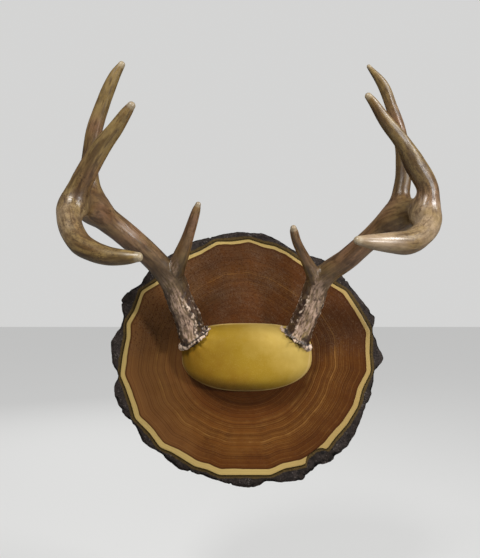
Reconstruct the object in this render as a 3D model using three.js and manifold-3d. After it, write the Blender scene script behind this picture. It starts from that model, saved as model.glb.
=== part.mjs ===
// A pair of deer antlers on a log-slice wall plaque, with a leather-covered cap between the antler bases.
// Millimetres. The wall is the plane y = 0, the plaque stands off it towards -y, x runs to the viewer's
// right and z is up. The origin is the middle of the slice's back. "Out" below is the distance off the wall.
import * as THREE from "three";
import { mergeVertices } from "three/addons/utils/BufferGeometryUtils.js";
import Module from "manifold-3d";

const wasm = await Module();
wasm.setup();

// Driving dimensions.
const slabThickness = 32;
const barkStepBack = 2;
const gap = 0.3;

// Corners of the wood, counted clockwise from the right, as [x, z]. The log was fluted.
const woodCorners = [
  [158, 8], [160, -18], [149, -40], [143, -63], [129, -86], [113, -104], [103, -118],
  [95, -116], [78, -128], [79, -136], [49, -142], [32, -150], [9, -150], [-34, -150],
  [-49, -143], [-65, -139], [-94, -121], [-109, -115], [-123, -96], [-141, -78], [-146, -60],
  [-154, -37], [-160, -23], [-157, 2], [-152, 26], [-152, 44], [-142, 60], [-133, 85],
  [-115, 96], [-95, 114], [-73, 130], [-58, 136], [-37, 148], [-18, 148], [4, 151], [22, 145],
  [37, 142], [52, 135], [65, 126], [90, 110], [113, 93], [128, 85], [141, 65], [148, 54], [159, 34],
];

// Corners of the bark's outer face, the same way round.
const barkCorners = [
  [176, -2], [166, -18], [164, -31], [161, -47], [153, -65], [146, -82], [139, -99],
  [131, -113], [109, -133], [93, -139], [72, -157], [46, -160], [25, -160], [9, -167],
  [-10, -165], [-39, -157], [-72, -146], [-89, -142], [-104, -128], [-132, -108], [-141, -91],
  [-157, -71], [-167, -53], [-168, -37], [-164, -24], [-170, -10], [-172, 20], [-161, 37],
  [-157, 54], [-159, 73], [-149, 85], [-134, 95], [-122, 112], [-100, 128], [-66, 148],
  [-34, 156], [-8, 160], [21, 158], [34, 153], [68, 133], [102, 124], [128, 99], [148, 73],
  [165, 51], [163, 33],
];

// The cap: a low dome over a rounded outline that is squarer above its middle than below.
const cap = {
  middle: [1.5, 0.5],
  halfWidth: 81.5,
  halfHeight: 42.2,
  rise: 36,
  cornerAbove: 2.9,
  cornerBelow: 2.25,
  edgeFullness: 4.2,
  crownFullness: 2,
  sides: 48,
  rings: 8,
  topShare: 0.075,
};

// Antlers, as stations [x, out, z, radius] along each branch, from its root to its tip. A tine's first
// station lies inside the beam. The beam's first station lies inside the cap, under the burr.
const antlers = {
  left: {
    beam: [
      [-51, 38, 10, 12.5], [-65, 52, 30, 15], [-71, 63, 52, 15.3], [-80, 73, 75, 15],
      [-87, 83, 96.5, 15], [-103.8, 99, 118.8, 13.3], [-124, 117, 139.5, 13.6], [-151, 137, 163, 14],
      [-166, 157, 175.5, 15.2], [-173, 182, 178, 13], [-177, 204, 169, 12.2], [-171, 224, 151.5, 11.7],
      [-159, 240, 135, 11], [-143.5, 254, 126, 10.1], [-126, 265, 120.5, 8.8], [-109, 273, 119, 6.8],
      [-97, 277, 119, 4.4],
    ],
    brow: [
      [-86, 88, 104, 11.5], [-72, 103, 136, 8], [-64, 114, 156, 6.4], [-57, 124, 175, 5],
      [-54, 128, 183, 3.2],
    ],
    second: [
      [-164, 154, 177, 12.5], [-169, 154, 206, 10.2], [-169, 154, 228, 9], [-163, 158, 259, 8.2],
      [-152, 164, 287, 7.6], [-140, 170, 311, 6], [-131, 173.5, 323.6, 3.8],
    ],
    third: [
      [-175, 200, 172, 11.5], [-167.5, 205, 189, 11.3], [-157.5, 211, 206.5, 10.6],
      [-143, 219, 226.5, 9.2], [-128, 226, 243, 7.5], [-116.3, 232, 257, 5.6], [-110.2, 235, 264, 4],
    ],
    forkAt: 0.5,
  },
  right: {
    beam: [
      [49, 37, 9, 12.5], [62.5, 51, 29, 14.8], [72, 62, 52, 14.8], [80, 72, 75, 14.4],
      [86, 82, 95.5, 14.5], [98.7, 94, 109.8, 12.9], [115.8, 112, 123, 12.3], [138.6, 134, 145.6, 12.1],
      [156, 154, 162, 14.8], [170, 176, 168.5, 14.4], [176, 198, 167.5, 12.6], [175.5, 220, 154, 11.9],
      [163.5, 238, 141.5, 11.4], [147.5, 254, 133.3, 11.3], [129, 266, 132.4, 9.5],
      [107, 277, 132.6, 6.3], [95.8, 282, 133.4, 3.9],
    ],
    brow: [
      [83, 87, 99, 10.5], [72, 101, 117, 7], [63, 112, 131, 5.6], [57, 122, 141, 5.2],
      [53, 131, 152, 4.6], [52, 134, 156, 3.4],
    ],
    second: [
      [164, 157, 167, 12.5], [165, 157, 189, 9.8], [168, 156, 210, 8.4], [167.3, 156, 236, 7.8],
      [162.5, 159, 259, 7], [153.8, 164, 281, 6.2], [143, 170, 303, 5.6], [127, 175, 321.3, 2.2],
    ],
    third: [
      [175.5, 208, 163, 11.5], [177.2, 210, 188, 9.6], [163, 216.5, 213, 10.2], [149.8, 222.5, 232, 8],
      [132, 229.5, 251, 6.4], [119.7, 235, 266, 4.5], [114, 237, 272.3, 3.4],
    ],
    forkAt: 0.5,
  },
};

// The burr is the knobbly collar where an antler meets the skull. Its middle is a distance along the beam.
const burr = { middle: 25, halfWidth: 4, rise: 5.5, sectionStep: 2.7 };
const ringStep = 9;
const ringSides = 12;

// Two wood screws hold the cap from behind, in countersunk holes.
const screw = {
  spacing: 70,
  headRadius: 4.5,
  headDepth: 3,
  recess: 1,
  shankRadius: 2.2,
  length: 50,
  pointLength: 5,
  slot: { length: 5.2, width: 1, depth: 1.6 },
  sides: 16,
};

// A sawtooth hanger lies flush across a routed pocket in the back.
const hanger = {
  height: 95,
  length: 62,
  width: 12,
  thickness: 1.2,
  teeth: 9,
  toothedLength: 36,
  toothDepth: 2,
};
const hangerRecess = { length: 63, width: 13, depth: 2.4, corner: 1 };
const pocket = { length: 44, width: 30, depth: 12, drop: 6, corner: 5 };
const nail = {
  spacing: 54,
  headRadius: 2.4,
  headHeight: 0.5,
  radius: 0.8,
  length: 14,
  pointLength: 3,
  sides: 12,
};

const materials = {
  wood: new THREE.MeshStandardMaterial({ color: 0x7a4a26, roughness: 0.45, metalness: 0 }),
  leather: new THREE.MeshStandardMaterial({ color: 0xb8923a, roughness: 0.8, metalness: 0 }),
  antler: new THREE.MeshStandardMaterial({ color: 0x8f7758, roughness: 0.45, metalness: 0 }),
  steel: new THREE.MeshStandardMaterial({ color: 0xa8a49a, roughness: 0.35, metalness: 1 }),
};

// A closed geometry as a manifold solid, with its faces turned outwards.
function solidOf(geometry) {
  const bare = geometry.index ? geometry.toNonIndexed() : geometry.clone();
  bare.deleteAttribute("normal");
  bare.deleteAttribute("uv");
  const merged = mergeVertices(bare, 1e-4);
  const vertProperties = new Float32Array(merged.attributes.position.array);
  const triVerts = new Uint32Array(merged.index.array);
  const made = new wasm.Manifold(new wasm.Mesh({ numProp: 3, vertProperties, triVerts }));
  if (made.volume() > 0) return made;
  triVerts.reverse();
  return new wasm.Manifold(new wasm.Mesh({ numProp: 3, vertProperties, triVerts }));
}

// The largest body of a solid, without the slivers that a cut can leave beside it.
function largestBody(solid) {
  const bodies = solid.decompose();
  return bodies.reduce((best, body) => (body.volume() > best.volume() ? body : best));
}

function geometryOf(solid) {
  const mesh = solid.getMesh();
  const geometry = new THREE.BufferGeometry();
  const positions = new THREE.BufferAttribute(new Float32Array(mesh.vertProperties), 3);
  geometry.setAttribute("position", positions);
  geometry.setIndex(new THREE.BufferAttribute(new Uint32Array(mesh.triVerts), 1));
  const flat = geometry.toNonIndexed();
  flat.computeVertexNormals();
  return flat;
}

// A skin over rings of equally many points, closed by a fan to one point at each end.
function skinOver(rings, firstPoint, lastPoint) {
  const sides = rings[0].length;
  const positions = [];
  const addTriangle = (a, b, c) => positions.push(...a.toArray(), ...b.toArray(), ...c.toArray());
  for (let side = 0; side < sides; side++) {
    const next = (side + 1) % sides;
    addTriangle(firstPoint, rings[0][next], rings[0][side]);
    for (let r = 1; r < rings.length; r++) {
      addTriangle(rings[r - 1][side], rings[r - 1][next], rings[r][next]);
      addTriangle(rings[r - 1][side], rings[r][next], rings[r][side]);
    }
    const last = rings[rings.length - 1];
    addTriangle(lastPoint, last[side], last[next]);
  }
  const geometry = new THREE.BufferGeometry();
  geometry.setAttribute("position", new THREE.Float32BufferAttribute(positions, 3));
  return geometry;
}

// A flat outline in x and z, carried from the distance "from" off the wall to the distance "to".
function plate(shape, from, to) {
  const settings = { depth: to - from, bevelEnabled: false, curveSegments: 6 };
  const geometry = new THREE.ExtrudeGeometry(shape, settings);
  geometry.rotateX(Math.PI / 2);
  geometry.translate(0, -from, 0);
  return solidOf(geometry);
}

function outlineShape(corners) {
  return new THREE.Shape(corners.map(([x, z]) => new THREE.Vector2(x, z)));
}

function rectangle(middleX, middleZ, length, width) {
  const [x, z] = [length / 2, width / 2];
  const corners = [[x, z], [-x, z], [-x, -z], [x, -z]];
  return outlineShape(corners.map(([aside, up]) => [middleX + aside, middleZ + up]));
}

function roundedRectangle(middleX, middleZ, length, width, corner) {
  const [x, z] = [length / 2 - corner, width / 2 - corner];
  const shape = new THREE.Shape();
  shape.absarc(middleX + x, middleZ + z, corner, 0, Math.PI / 2);
  shape.absarc(middleX - x, middleZ + z, corner, Math.PI / 2, Math.PI);
  shape.absarc(middleX - x, middleZ - z, corner, Math.PI, 1.5 * Math.PI);
  shape.absarc(middleX + x, middleZ - z, corner, 1.5 * Math.PI, 2 * Math.PI);
  return shape;
}

// A turned piece about an axis square to the wall, from [radius, out] pairs that start and end on the axis.
function turned(profile, x, z, sides) {
  const points = profile.map(([radius, out]) => new THREE.Vector2(radius, -out));
  const geometry = new THREE.LatheGeometry(points, sides);
  geometry.translate(x, 0, z);
  return solidOf(geometry);
}

// One point of the cap's outline, shrunk by a share of its size, at a distance off the wall.
function capPoint(angle, share, out) {
  const corner = Math.sin(angle) > 0 ? cap.cornerAbove : cap.cornerBelow;
  const [cosine, sine] = [Math.abs(Math.cos(angle)), Math.abs(Math.sin(angle))];
  const reach = (cosine ** corner + sine ** corner) ** (-1 / corner);
  const x = cap.middle[0] + cap.halfWidth * reach * Math.cos(angle) * share;
  const z = cap.middle[1] + cap.halfHeight * reach * Math.sin(angle) * share;
  return new THREE.Vector3(x, -out, z);
}

// The cap on the slice's face, or the space that clears it where it is grown.
function buildCap(grow) {
  const foot = slabThickness + gap;
  const rings = [];
  for (let r = 0; r <= cap.rings; r++) {
    const share = cap.topShare + (1 - cap.topShare) * Math.cos(((r / cap.rings) * Math.PI) / 2);
    const lift = cap.rise * (1 - share ** cap.edgeFullness) ** (1 / cap.crownFullness);
    const out = r ? foot + lift + grow : foot - grow;
    const ring = [];
    for (let side = 0; side < cap.sides; side++) {
      const angle = ((side + 0.5) / cap.sides) * 2 * Math.PI;
      ring.push(capPoint(angle, share + grow / cap.halfHeight, out));
    }
    rings.push(ring);
  }
  return solidOf(skinOver(rings, capPoint(0, 0, foot - grow), capPoint(0, 0, foot + grow + cap.rise)));
}

function curveThrough(stations) {
  const points = stations.map(([x, out, z]) => new THREE.Vector3(x, -out, z));
  return new THREE.CatmullRomCurve3(points, false, "catmullrom", 0.5);
}

// The radius between two stations, at the curve's own parameter.
function radiusAt(stations, t) {
  const place = t * (stations.length - 1);
  const before = Math.min(Math.floor(place), stations.length - 2);
  const share = place - before;
  return stations[before][3] * (1 - share) + stations[before + 1][3] * share;
}

// Sections along a branch, each with its share of the length, middle, direction, side and radius. A split
// adds two sections half a gap either side of it. A collar adds sections round the burr and raises them.
function sectionsOf(stations, { split = null, collar = 0 } = {}) {
  const curve = curveThrough(stations);
  const length = curve.getLength();
  const steps = Math.ceil(length / ringStep);
  const shares = Array.from({ length: steps + 1 }, (_, i) => i / steps);
  if (split) shares.push(split - gap / 2 / length, split + gap / 2 / length);
  for (let i = -3; collar && i <= 3; i++) shares.push((burr.middle + i * burr.sectionStep) / length);
  shares.sort((a, b) => a - b);
  let side = new THREE.Vector3(0, 1, 0);
  return shares.map((share) => {
    const along = curve.getTangentAt(share);
    side = side.clone().addScaledVector(along, -side.dot(along)).normalize();
    const fromBurr = (share * length - burr.middle) / burr.halfWidth;
    const radius = radiusAt(stations, curve.getUtoTmapping(share)) + collar * Math.exp(-(fromBurr ** 2));
    return { share, middle: curve.getPointAt(share), along, side, radius };
  });
}

function ringAt({ middle, along, side }, radius, ahead = 0) {
  const other = new THREE.Vector3().crossVectors(along, side);
  return Array.from({ length: ringSides }, (_, i) => {
    const angle = (i / ringSides) * 2 * Math.PI;
    const point = middle.clone().addScaledVector(along, ahead);
    point.addScaledVector(side, radius * Math.cos(angle));
    return point.addScaledVector(other, radius * Math.sin(angle));
  });
}

// The solid round some sections, flat at both ends, or rounded at its far end where that is a tip.
function branchRound(sections, { grow = 0, tip = true } = {}) {
  const rings = sections.map((section) => ringAt(section, section.radius + grow));
  const last = sections[sections.length - 1];
  const size = last.radius + grow;
  const end = last.middle.clone().addScaledVector(last.along, tip ? size : 0);
  for (const turn of tip ? [Math.PI / 6, Math.PI / 3] : []) {
    rings.push(ringAt(last, size * Math.cos(turn), size * Math.sin(turn)));
  }
  return solidOf(skinOver(rings, sections[0].middle, end));
}

// One antler: its beam in two lengths that meet at the second tine's fork, and its three tines.
function buildAntler({ beam, brow, second, third, forkAt }, seat) {
  const sections = sectionsOf(beam, { split: forkAt, collar: burr.rise });
  const lower = sections.filter(({ share }) => share < forkAt);
  const upper = sections.filter(({ share }) => share > forkAt);
  const beamWithGap = branchRound(sections, { grow: gap });
  const tine = (stations) => largestBody(branchRound(sectionsOf(stations)).subtract(beamWithGap));
  return {
    lower_beam: largestBody(branchRound(lower, { tip: false }).subtract(seat)),
    upper_beam: branchRound(upper),
    brow_tine: tine(brow),
    second_tine: tine(second),
    third_tine: tine(third),
  };
}

// A countersunk screw with a cross slot, or the hole that clears it where it is grown.
function buildScrew(x, grow) {
  const z = cap.middle[1];
  const head = screw.headRadius + grow;
  const shank = screw.shankRadius + grow;
  const [top, end] = [screw.recess, screw.recess + screw.length + grow];
  const mouth = grow ? -gap : top;
  const profile = [
    [0, mouth], [head, mouth], [head, top + grow], [shank, top + screw.headDepth + grow],
    [shank, end - screw.pointLength], [0, end],
  ];
  const whole = turned(profile, x, z, screw.sides);
  if (grow) return whole;
  const { length, width, depth } = screw.slot;
  const across = plate(rectangle(x, z, length, width), top - depth, top + depth);
  const upright = plate(rectangle(x, z, width, length), top - depth, top + depth);
  return whole.subtract(across).subtract(upright);
}

// A nail over the hanger's end, or the hole that clears its shank where it is grown.
function buildNail(x, grow) {
  const radius = nail.radius + grow;
  const headFoot = hangerRecess.depth - hanger.thickness - gap;
  const top = headFoot - nail.headHeight;
  const end = top + nail.length + grow;
  const head = grow ? radius : nail.headRadius;
  const profile = [
    [0, top], [head, top], [head, headFoot], [radius, headFoot], [radius, end - nail.pointLength], [0, end],
  ];
  return turned(profile, x, hanger.height, nail.sides);
}

// The hanger's strip, with its teeth along the lower edge.
function buildHanger(nails) {
  const halfLength = hanger.length / 2;
  const foot = hanger.height - hanger.width / 2;
  const top = foot + hanger.width;
  const toothLength = hanger.toothedLength / hanger.teeth;
  const shape = new THREE.Shape();
  shape.moveTo(-halfLength, top);
  shape.lineTo(-halfLength, foot);
  for (let tooth = 0; tooth < hanger.teeth; tooth++) {
    const start = tooth * toothLength - hanger.toothedLength / 2;
    shape.lineTo(start, foot);
    shape.lineTo(start + toothLength / 2, foot + hanger.toothDepth);
  }
  shape.lineTo(hanger.toothedLength / 2, foot);
  shape.lineTo(halfLength, foot);
  shape.lineTo(halfLength, top);
  const strip = plate(shape, hangerRecess.depth - hanger.thickness, hangerRecess.depth - gap / 2);
  return nails.reduce((whole, hole) => whole.subtract(hole), strip);
}

// The slice with its bark, cut for the hanger, the nails and the screws.
function buildSlab(holes) {
  const wood = plate(outlineShape(woodCorners), 0, slabThickness);
  const bark = plate(outlineShape(barkCorners), 0, slabThickness - barkStepBack);
  const recessAt = [0, hanger.height, hangerRecess.length, hangerRecess.width, hangerRecess.corner];
  const pocketAt = [0, hanger.height - pocket.drop, pocket.length, pocket.width, pocket.corner];
  const recess = plate(roundedRectangle(...recessAt), -gap, hangerRecess.depth);
  const routed = plate(roundedRectangle(...pocketAt), -gap, pocket.depth);
  return [recess, routed, ...holes].reduce((whole, cut) => whole.subtract(cut), wood.add(bark));
}

const plaque = new THREE.Group();

function addPiece(name, solid, material) {
  const mesh = new THREE.Mesh(geometryOf(solid), material);
  mesh.name = name;
  plaque.add(mesh);
}

const screwPlaces = { left: -screw.spacing / 2, right: screw.spacing / 2 };
const nailPlaces = { left: -nail.spacing / 2, right: nail.spacing / 2 };
const screwHoles = Object.values(screwPlaces).map((x) => buildScrew(x, gap));
const nailHoles = Object.values(nailPlaces).map((x) => buildNail(x, gap));

addPiece("log_slice", buildSlab([...screwHoles, ...nailHoles]), materials.wood);
const capCut = screwHoles.reduce((whole, hole) => whole.subtract(hole), buildCap(0));
addPiece("leather_cap", capCut, materials.leather);
const antlerSeat = buildCap(gap).add(plate(outlineShape(woodCorners), 0, slabThickness + gap));
for (const [hand, antler] of Object.entries(antlers)) {
  for (const [piece, solid] of Object.entries(buildAntler(antler, antlerSeat))) {
    addPiece(`${hand}_${piece}`, solid, materials.antler);
  }
}
for (const [hand, x] of Object.entries(screwPlaces)) {
  addPiece(`${hand}_cap_screw`, buildScrew(x, 0), materials.steel);
}
addPiece("sawtooth_hanger", buildHanger(nailHoles), materials.steel);
for (const [hand, x] of Object.entries(nailPlaces)) {
  addPiece(`${hand}_hanger_nail`, buildNail(x, 0), materials.steel);
}

export default plaque;
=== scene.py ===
import math

import bmesh
import bpy
import numpy as np
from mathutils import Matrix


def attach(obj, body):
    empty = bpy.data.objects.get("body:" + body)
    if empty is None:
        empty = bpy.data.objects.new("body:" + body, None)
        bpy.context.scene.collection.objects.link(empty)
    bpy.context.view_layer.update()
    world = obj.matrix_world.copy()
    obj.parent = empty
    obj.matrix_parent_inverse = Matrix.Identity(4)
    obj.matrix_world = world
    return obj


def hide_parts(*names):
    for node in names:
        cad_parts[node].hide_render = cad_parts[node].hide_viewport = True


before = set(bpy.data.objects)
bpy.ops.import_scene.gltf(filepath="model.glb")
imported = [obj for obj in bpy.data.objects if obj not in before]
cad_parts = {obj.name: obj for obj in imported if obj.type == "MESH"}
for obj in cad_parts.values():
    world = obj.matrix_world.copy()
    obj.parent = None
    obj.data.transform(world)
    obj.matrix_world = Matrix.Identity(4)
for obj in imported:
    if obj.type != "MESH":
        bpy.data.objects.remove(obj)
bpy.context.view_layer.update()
scene = bpy.context.scene
mm = 0.001


latticePrimes = (73856093, 19349663, 83492791)     # these and the next two scramble a corner's place
seedPrime, mixPrime = 2654435761, 1274126177


# Smooth random values from 0 to 1 in space. Each point takes its place in a lattice of cubes with edges of
# the given size, and blends the random numbers of the cube's eight corners with smoothstep weights. A
# corner's number is the low 16 bits of its whole coordinates, times large primes, mixed with the seed.
def noiseAt(points, size, seed):
    place = np.asarray(points) / size
    low = np.floor(place).astype(np.int64)
    share = place - low
    share = share * share * (3 - 2 * share)
    total = np.zeros(len(place))
    highest = 2 ** 16 - 1
    for corner in range(8):
        step = np.array([corner & 1, corner >> 1 & 1, corner >> 2 & 1])
        across, deep, up = (low + step).T * np.array(latticePrimes)[:, None]
        code = across ^ deep ^ up ^ seed * seedPrime
        code = (code ^ (code >> 13)) * mixPrime
        value = ((code ^ (code >> 16)) & highest) / highest
        total += value * np.prod(np.where(step, share, 1 - share), axis=1)
    return total


# Noise in three layers, each half the size and half the strength of the one before: the sum of
# noise(size / 2^i) / 2^i, divided by the sum of the strengths.
def roughAt(points, size, seed):
    layers = [noiseAt(points, size / 2 ** i, seed + i) / 2 ** i for i in range(3)]
    return sum(layers) / (1 + 1 / 2 + 1 / 4)


# 0 below low, 1 above high and a smoothstep between them.
def ease(value, low, high):
    share = np.clip((value - low) / (high - low), 0, 1)
    return share * share * (3 - 2 * share)


# Narrow winding valleys: 1 where smooth noise crosses its middle value, easing to 0 on either side.
def valleyAt(points, size, seed, low, high=1.0):
    return ease(1 - np.abs(2 * noiseAt(points, size, seed) - 1), low, high)


# A bell: 1 at the middle, falling off as exp(-(distance / width) squared).
def bell(value, middle, width):
    return np.exp(-(((value - middle) / width) ** 2))


# The quads between neighbouring rings of a grid. A closed grid joins its last row to its first as well.
def gridFaces(rings, sides, closed=False):
    ring = np.arange(rings if closed else rings - 1)[:, None]
    side = np.arange(sides)[None, :]
    nextRing, nextSide = (ring + 1) % rings, (side + 1) % sides
    corners = [ring * sides + side, ring * sides + nextSide,
               nextRing * sides + nextSide, nextRing * sides + side]
    return np.stack(corners, axis=-1).reshape(-1, 4)


# The triangles from one pole to a ring of points.
def fanFaces(pole, ring):
    return np.stack([np.full(len(ring), pole), ring, np.roll(ring, -1)], axis=-1)


# The faces of rings closed by two poles. The poles' points come last: the first ring's, then the last's.
def closedFaces(rings, sides):
    ring = np.arange(sides)
    lastRing = ring + (rings - 1) * sides
    return [gridFaces(rings, sides), fanFaces(rings * sides, ring), fanFaces(rings * sides + 1, lastRing)]


# Rings of points round the log's axis: [radius cos(angle), y, radius sin(angle)], with one y for each ring.
def ringPoints(radius, angle, y):
    deep = np.broadcast_to(y[:, None], radius.shape)
    return np.stack([radius * np.cos(angle), deep, radius * np.sin(angle)], axis=-1)


# A piece from its points and groups of faces, whose numbers count from the first point.
def newPiece(name, points, faces, smooth=True):
    mesh = bpy.data.meshes.new(name)
    mesh.from_pydata(np.asarray(points).tolist(), [], [face for part in faces for face in part.tolist()])
    mesh.validate()
    piece = bpy.data.objects.new(name, mesh)
    scene.collection.objects.link(piece)
    turnOutwards(piece)
    if smooth:
        mesh.shade_smooth()
    else:
        mesh.shade_flat()
    return piece


# Recalculates the faces' directions so that they all point out of the closed mesh.
def turnOutwards(piece):
    made = bmesh.new()
    made.from_mesh(piece.data)
    bmesh.ops.recalc_face_normals(made, faces=made.faces)
    made.to_mesh(piece.data)
    made.free()


def pointsOf(mesh):
    flat = np.empty(len(mesh.vertices) * 3, np.float32)
    mesh.vertices.foreach_get("co", flat)
    return flat.reshape(-1, 3).astype(float)


def setPoints(mesh, points):
    mesh.vertices.foreach_set("co", points.astype(np.float32).ravel())
    mesh.update()


def setAttribute(mesh, name, values):
    values = np.asarray(values, np.float32)
    kind, key = ("FLOAT_VECTOR", "vector") if values.ndim == 2 else ("FLOAT", "value")
    mesh.attributes.new(name, kind, "POINT").data.foreach_set(key, values.ravel())


# Applies a piece's modifiers and keeps the result as its mesh.
def applyModifiers(piece):
    shaped = bpy.data.meshes.new_from_object(piece.evaluated_get(bpy.context.evaluated_depsgraph_get()))
    piece.modifiers.clear()
    piece.data = shaped
    return shaped


def newMaterial(name):
    material = bpy.data.materials.new(name)
    material.use_nodes = True
    tree = material.node_tree
    return material, tree, tree.nodes["Principled BSDF"]


# Fills a node's inputs. Each gets a fixed value or another node's output.
def fill(tree, made, inputs):
    for name, value in inputs.items():
        if isinstance(value, bpy.types.NodeSocket):
            tree.links.new(value, made.inputs[name])
        else:
            made.inputs[name].default_value = value
    return made


def node(tree, kind, inputs=None, **settings):
    made = tree.nodes.new("ShaderNode" + kind)
    for name, value in settings.items():
        setattr(made, name, value)
    return fill(tree, made, inputs or {})


def maths(tree, operation, first, second=0.0, clamp=False):
    return node(tree, "Math", {0: first, 1: second}, operation=operation, use_clamp=clamp).outputs[0]


def plus(tree, first, second):
    return maths(tree, "ADD", first, second)


def minus(tree, first, second):
    return maths(tree, "SUBTRACT", first, second)


def times(tree, first, second):
    return maths(tree, "MULTIPLY", first, second)


# A mask from 0 to 1 turned into a shift from minus half the spread to plus half of it.
def swing(tree, mask, spread):
    return times(tree, minus(tree, mask, 0.5), spread)


# A value moved from one range to another and held inside it, with a soft start and end.
def remap(tree, value, low, high, toLow=0.0, toHigh=1.0):
    inputs = {"Value": value, "From Min": low, "From Max": high, "To Min": toLow, "To Max": toHigh}
    return node(tree, "MapRange", inputs, interpolation_type="SMOOTHSTEP").outputs["Result"]


def mixColour(tree, factor, first, second):
    def opaque(colour):
        return colour if isinstance(colour, bpy.types.NodeSocket) else (*colour, 1)

    inputs = {0: factor, 6: opaque(first), 7: opaque(second)}
    return node(tree, "Mix", inputs, data_type="RGBA").outputs[2]


# One material's brush: it lays a colour of the palette over another colour where the mask says, and fainter
# where a strength is given.
def painter(tree, palette):
    def paint(colour, name, mask, strength=None):
        factor = mask if strength is None else times(tree, mask, strength)
        return mixColour(tree, factor, colour, palette[name])

    return paint


def attribute(tree, name, output="Fac"):
    return node(tree, "Attribute", attribute_name=name).outputs[output]


def objectPlace(tree):
    return node(tree, "TexCoord").outputs["Object"]


def stretched(tree, vector, scale):
    return node(tree, "Mapping", {"Vector": vector, "Scale": scale}).outputs["Vector"]


def noiseMask(tree, vector, scale, detail=3.0, rough=0.55):
    inputs = {"Vector": vector, "Scale": scale, "Detail": detail, "Roughness": rough}
    return node(tree, "TexNoise", inputs).outputs["Fac"]


def bump(tree, height, distance, strength):
    inputs = {"Height": height, "Distance": distance, "Strength": strength}
    return node(tree, "Bump", inputs).outputs["Normal"]


# A group with named inputs and outputs, shared by several materials.
def newGroup(name, inputs, outputs):
    tree = bpy.data.node_groups.new(name, "ShaderNodeTree")
    for socket, kind, value in inputs:
        made = tree.interface.new_socket(socket, in_out="INPUT", socket_type=kind)
        if value is not None:
            made.default_value = value
    for socket, kind in outputs:
        tree.interface.new_socket(socket, in_out="OUTPUT", socket_type=kind)
    return tree, tree.nodes.new("NodeGroupInput").outputs, tree.nodes.new("NodeGroupOutput").inputs


# Small dark or pale flecks: noise at one scale, kept where it passes a level that coarser noise shifts.
def buildFlecks():
    tree, given, result = newGroup(
        "flecks",
        [("Vector", "NodeSocketVector", None), ("Scale", "NodeSocketFloat", 400.0),
         ("Level", "NodeSocketFloat", 0.6), ("Softness", "NodeSocketFloat", 0.05),
         ("Patches", "NodeSocketFloat", 0.2)],
        [("Mask", "NodeSocketFloat")])
    fine = noiseMask(tree, given["Vector"], given["Scale"], 2.0)
    coarse = noiseMask(tree, given["Vector"], times(tree, given["Scale"], 0.17), 1.0)
    over = minus(tree, plus(tree, fine, swing(tree, coarse, given["Patches"])), given["Level"])
    tree.links.new(maths(tree, "DIVIDE", over, given["Softness"], clamp=True), result["Mask"])
    return tree


# Broad uneven toning: two sizes of noise mixed and stretched to use the range from 0 to 1.
def buildMottle():
    tree, given, result = newGroup(
        "mottle",
        [("Vector", "NodeSocketVector", None), ("Scale", "NodeSocketFloat", 30.0),
         ("Contrast", "NodeSocketFloat", 1.0)],
        [("Mask", "NodeSocketFloat")])
    broad = noiseMask(tree, given["Vector"], given["Scale"], 2.0)
    close = noiseMask(tree, given["Vector"], times(tree, given["Scale"], 3.7), 3.0)
    both = plus(tree, times(tree, broad, 0.65), times(tree, close, 0.35))
    spread = times(tree, swing(tree, both, given["Contrast"]), 3.0)
    tree.links.new(maths(tree, "ADD", spread, 0.5, clamp=True), result["Mask"])
    return tree


flecksGroup = buildFlecks()
mottleGroup = buildMottle()


def flecks(tree, vector, scale, level, softness=0.05, patches=0.2):
    inputs = {"Vector": vector, "Scale": scale, "Level": level, "Softness": softness, "Patches": patches}
    return node(tree, "Group", inputs, node_tree=flecksGroup).outputs["Mask"]


def mottle(tree, vector, scale, contrast=1.0):
    inputs = {"Vector": vector, "Scale": scale, "Contrast": contrast}
    return node(tree, "Group", inputs, node_tree=mottleGroup).outputs["Mask"]


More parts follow.
